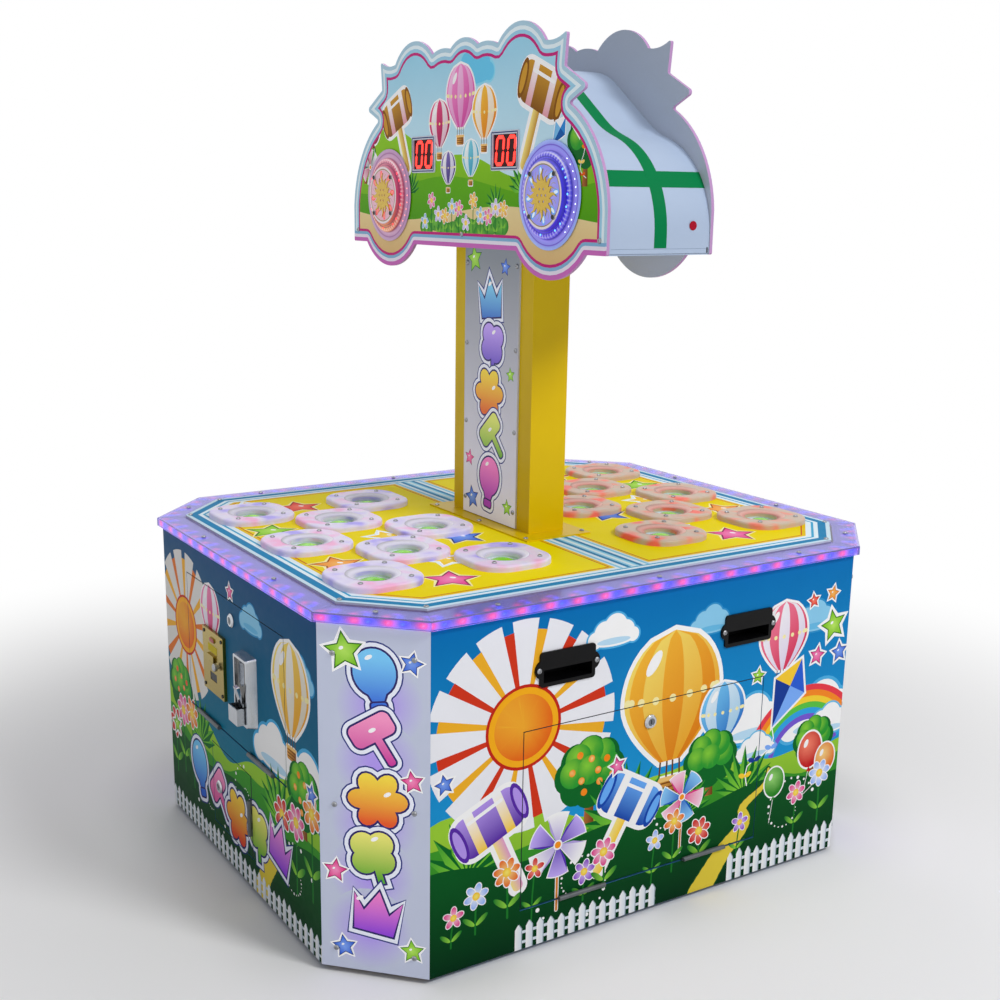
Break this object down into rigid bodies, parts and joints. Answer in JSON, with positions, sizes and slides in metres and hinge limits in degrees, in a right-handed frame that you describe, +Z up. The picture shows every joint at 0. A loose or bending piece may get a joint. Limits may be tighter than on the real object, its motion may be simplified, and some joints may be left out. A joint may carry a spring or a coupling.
{
  "type": "mole pounding arcade machine",
  "caption": "Two-sided mole pounding arcade cabinet: octagonal deck with rising moles in lit rings, coin door, and a lit head on a column",
  "frame": {"origin": "on the floor, under the middle of the whole machine's footprint", "axes": "+Z up; -Y is the coin side, where the first player stands; +X is the side with the service door, to the right of someone who faces the coin side"},
  "size_m": [0.85, 1.0426, 1.3155],
  "materials": {
    "printed_wood": "gloss vinyl print",
    "plain_wood": "raw board",
    "corner_acrylic": "gloss print",
    "strip_white": "lit",
    "playfield_print": "gloss print",
    "rim_clear": "clear, lit from inside",
    "ring_frosted": "frosted, lit from inside",
    "mole_green": "gloss",
    "guide_plastic": "matt",
    "drive_steel": "zinc plated",
    "screw_steel": "bright",
    "column_yellow": "gloss powder coat",
    "head_white": "satin powder coat",
    "sign_print": "gloss print",
    "head_print": "gloss print",
    "lamp_clear": "clear, lit from inside",
    "sun_gold": "polished",
    "score_white": "gloss",
    "score_red": "dark window",
    "door_print": "gloss print",
    "hinge_steel": "zinc plated",
    "lock_chrome": "polished",
    "acceptor_chrome": "polished",
    "meter_gold": "brushed",
    "handle_black": "fine grain",
    "foot_rubber": "matt",
    "board_green": "solder mask",
    "supply_steel": "perforated case",
    "speaker_black": "paper cone and magnet",
    "box_steel": "zinc plated",
    "inlet_black": "moulded",
    "rocker_red": "gloss"
  },
  "bodies": {
    "cabinet": {"base_board": "plain_wood", "rubber_feet": "foot_rubber", "frame": "plain_wood", "side_panels": "printed_wood", "end_panels": "printed_wood", "corner_panels": "corner_acrylic", "light_strips": "strip_white", "deck_board": "plain_wood", "playfield_sheet": "playfield_print", "rim": "rim_clear", "target_rings": "ring_frosted", "screws": "screw_steel", "mole_guides": "guide_plastic", "mole_drives": "drive_steel", "column": "column_yellow", "sign_panels": "sign_print", "head_boards": "head_print", "head_cover": "head_white", "head_tray": "head_white", "lamp_lenses": "lamp_clear", "lamp_suns": "sun_gold", "score_frames": "score_white", "score_modules": "score_red", "lift_handles": "handle_black", "hinge_leaves": "hinge_steel", "control_board": "board_green", "power_supply": "supply_steel", "speaker": "speaker_black", "cash_box": "box_steel", "power_inlet": "inlet_black"},
    "mole_1": {"mole_1": "mole_green"},
    "mole_2": {"mole_2": "mole_green"},
    "mole_3": {"mole_3": "mole_green"},
    "mole_4": {"mole_4": "mole_green"},
    "mole_5": {"mole_5": "mole_green"},
    "mole_6": {"mole_6": "mole_green"},
    "mole_7": {"mole_7": "mole_green"},
    "mole_8": {"mole_8": "mole_green"},
    "mole_9": {"mole_9": "mole_green"},
    "mole_10": {"mole_10": "mole_green"},
    "mole_11": {"mole_11": "mole_green"},
    "mole_12": {"mole_12": "mole_green"},
    "mole_13": {"mole_13": "mole_green"},
    "mole_14": {"mole_14": "mole_green"},
    "mole_15": {"mole_15": "mole_green"},
    "mole_16": {"mole_16": "mole_green"},
    "coin_door": {"coin_door": "door_print", "coin_lock_barrel": "lock_chrome", "coin_acceptor": "acceptor_chrome", "meter_plate": "meter_gold"},
    "coin_lock": {"coin_lock": "lock_chrome"},
    "return_lever": {"return_lever": "acceptor_chrome"},
    "meter_button": {"meter_button": "acceptor_chrome"},
    "cash_door": {"cash_door": "door_print", "cash_lock_barrel": "lock_chrome"},
    "cash_lock": {"cash_lock": "lock_chrome"},
    "service_door": {"service_door": "door_print", "service_lock_barrel": "lock_chrome"},
    "service_lock": {"service_lock": "lock_chrome"},
    "power_rocker": {"power_rocker": "rocker_red"}
  },
  "joints": [
    {"name": "mole_1_slide", "type": "slide", "parent": "cabinet", "child": "mole_1", "axis": [0, 0, 1], "range_m": [0, 0.05]},
    {"name": "mole_2_slide", "type": "slide", "parent": "cabinet", "child": "mole_2", "axis": [0, 0, 1], "range_m": [0, 0.05]},
    {"name": "mole_3_slide", "type": "slide", "parent": "cabinet", "child": "mole_3", "axis": [0, 0, 1], "range_m": [0, 0.05]},
    {"name": "mole_4_slide", "type": "slide", "parent": "cabinet", "child": "mole_4", "axis": [0, 0, 1], "range_m": [0, 0.05]},
    {"name": "mole_5_slide", "type": "slide", "parent": "cabinet", "child": "mole_5", "axis": [0, 0, 1], "range_m": [0, 0.05]},
    {"name": "mole_6_slide", "type": "slide", "parent": "cabinet", "child": "mole_6", "axis": [0, 0, 1], "range_m": [0, 0.05]},
    {"name": "mole_7_slide", "type": "slide", "parent": "cabinet", "child": "mole_7", "axis": [0, 0, 1], "range_m": [0, 0.05]},
    {"name": "mole_8_slide", "type": "slide", "parent": "cabinet", "child": "mole_8", "axis": [0, 0, 1], "range_m": [0, 0.05]},
    {"name": "mole_9_slide", "type": "slide", "parent": "cabinet", "child": "mole_9", "axis": [0, 0, 1], "range_m": [0, 0.05]},
    {"name": "mole_10_slide", "type": "slide", "parent": "cabinet", "child": "mole_10", "axis": [0, 0, 1], "range_m": [0, 0.05]},
    {"name": "mole_11_slide", "type": "slide", "parent": "cabinet", "child": "mole_11", "axis": [0, 0, 1], "range_m": [0, 0.05]},
    {"name": "mole_12_slide", "type": "slide", "parent": "cabinet", "child": "mole_12", "axis": [0, 0, 1], "range_m": [0, 0.05]},
    {"name": "mole_13_slide", "type": "slide", "parent": "cabinet", "child": "mole_13", "axis": [0, 0, 1], "range_m": [0, 0.05]},
    {"name": "mole_14_slide", "type": "slide", "parent": "cabinet", "child": "mole_14", "axis": [0, 0, 1], "range_m": [0, 0.05]},
    {"name": "mole_15_slide", "type": "slide", "parent": "cabinet", "child": "mole_15", "axis": [0, 0, 1], "range_m": [0, 0.05]},
    {"name": "mole_16_slide", "type": "slide", "parent": "cabinet", "child": "mole_16", "axis": [0, 0, 1], "range_m": [0, 0.05]},
    {"name": "coin_door_hinge", "type": "hinge", "parent": "cabinet", "child": "coin_door", "pos_m": [0, -0.4961, 0.238], "axis": [1, 0, 0], "range_deg": [0, 90]},
    {"name": "cash_door_hinge", "type": "hinge", "parent": "cabinet", "child": "cash_door", "pos_m": [0.057, -0.4961, 0.1295], "axis": [0, 0, 1], "range_deg": [0, 110]},
    {"name": "service_door_hinge", "type": "hinge", "parent": "cabinet", "child": "service_door", "pos_m": [0.4204, -0.0047, 0.074], "axis": [0, 1, 0], "range_deg": [0, 90]},
    {"name": "coin_lock_turn", "type": "hinge", "parent": "coin_door", "child": "coin_lock", "pos_m": [0, -0.4923, 0.435], "axis": [0, 1, 0], "range_deg": [0, 90]},
    {"name": "cash_lock_turn", "type": "hinge", "parent": "cash_door", "child": "cash_lock", "pos_m": [-0.074, -0.4923, 0.1295], "axis": [0, 1, 0], "range_deg": [0, 90]},
    {"name": "service_lock_turn", "type": "hinge", "parent": "service_door", "child": "service_lock", "pos_m": [0.4166, -0.0047, 0.317], "axis": [-1, 0, 0], "range_deg": [0, 90]},
    {"name": "return_lever_press", "type": "hinge", "parent": "coin_door", "child": "return_lever", "pos_m": [0.072, -0.5088, 0.327], "axis": [-1, 0, 0], "range_deg": [0, 14]},
    {"name": "meter_button_press", "type": "slide", "parent": "coin_door", "child": "meter_button", "axis": [0, 1, 0], "range_m": [0, 0.003], "stiffness_N_per_m": 300, "springref_m": -0.004},
    {"name": "power_rocker_turn", "type": "hinge", "parent": "cabinet", "child": "power_rocker", "pos_m": [-0.4141, 0.3403, 0.118], "axis": [0, -1, 0], "range_deg": [0, 16]}
  ]
}
